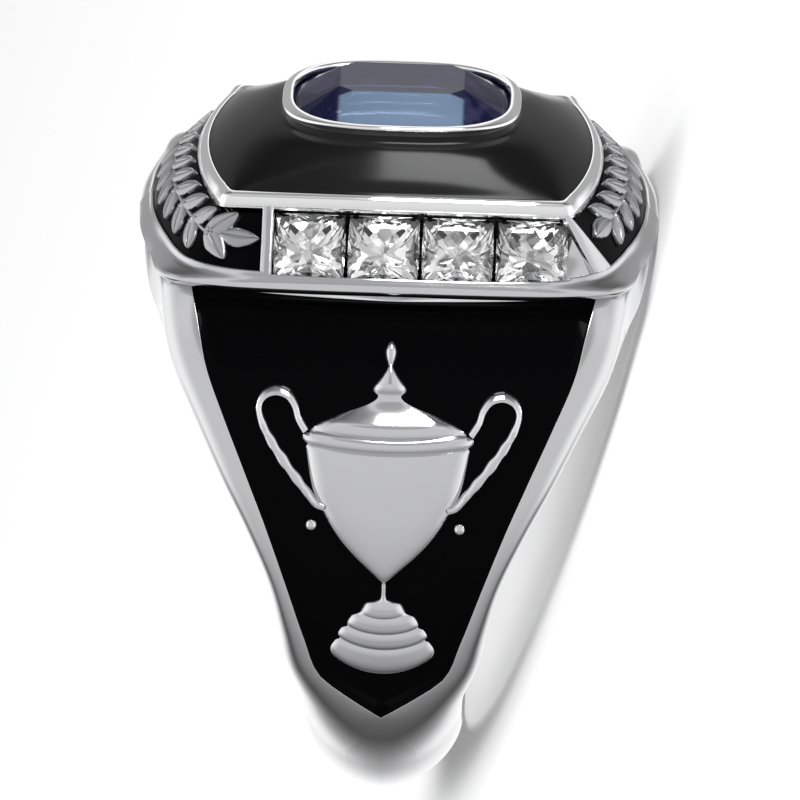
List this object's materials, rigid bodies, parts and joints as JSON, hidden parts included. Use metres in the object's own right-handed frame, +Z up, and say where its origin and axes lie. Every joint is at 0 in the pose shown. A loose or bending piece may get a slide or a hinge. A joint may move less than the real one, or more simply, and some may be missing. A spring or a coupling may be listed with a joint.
{
  "type": "championship ring",
  "caption": "Heavy cast steel finger ring lying on its side: bezel-set blue cushion stone on a black enamel dome, channel-set square stones, a raised cup on each shoulder.",
  "frame": {"origin": "centre of the finger hole, on its axis and in the middle of the band's width", "axes": "the ring lies on its side as it rests on a table. +X runs from the band's back towards the centre stone, level with the table. +Y runs across the ring from one cup to the other. +Z is up, the shortest way through the lying ring, and the finger hole leans 18.68 degrees from it"},
  "size_m": [0.0288, 0.0258, 0.0195],
  "materials": {
    "steel": "high polish stainless steel",
    "black_enamel": "glossy cold enamel",
    "blue_stone": "faceted and polished",
    "clear_stone": "faceted and polished"
  },
  "bodies": {
    "root": {"ring_casting": "steel", "shoulder_enamel_front": "black_enamel", "shoulder_enamel_back": "black_enamel", "top_enamel": "black_enamel", "leaf_enamel_left": "black_enamel", "leaf_enamel_right": "black_enamel", "centre_stone": "blue_stone", "side_stone_front_1": "clear_stone", "side_stone_front_2": "clear_stone", "side_stone_front_3": "clear_stone", "side_stone_front_4": "clear_stone", "side_stone_back_1": "clear_stone", "side_stone_back_2": "clear_stone", "side_stone_back_3": "clear_stone", "side_stone_back_4": "clear_stone"}
  },
  "joints": []
}
